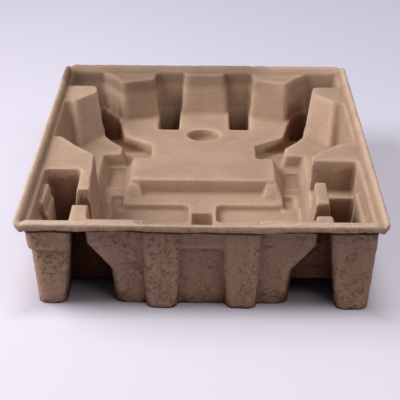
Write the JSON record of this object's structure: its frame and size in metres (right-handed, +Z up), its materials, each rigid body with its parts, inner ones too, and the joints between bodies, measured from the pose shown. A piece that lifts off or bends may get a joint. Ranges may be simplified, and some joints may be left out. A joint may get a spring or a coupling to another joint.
{
  "type": "molded pulp tray insert",
  "caption": "Molded pulp tray insert: a rimmed rectangular tray with stepped lands, a raised seat, corner wells and channels that hold a packed product.",
  "frame": {"origin": "middle of the footprint, at the ground", "axes": "+X to the right, +Y to the rear, +Z up through the open side"},
  "size_m": [0.38, 0.524, 0.101],
  "materials": {
    "pulp": "matt molded paper pulp"
  },
  "bodies": {
    "root": {"pulp_tray": "pulp"}
  },
  "joints": []
}
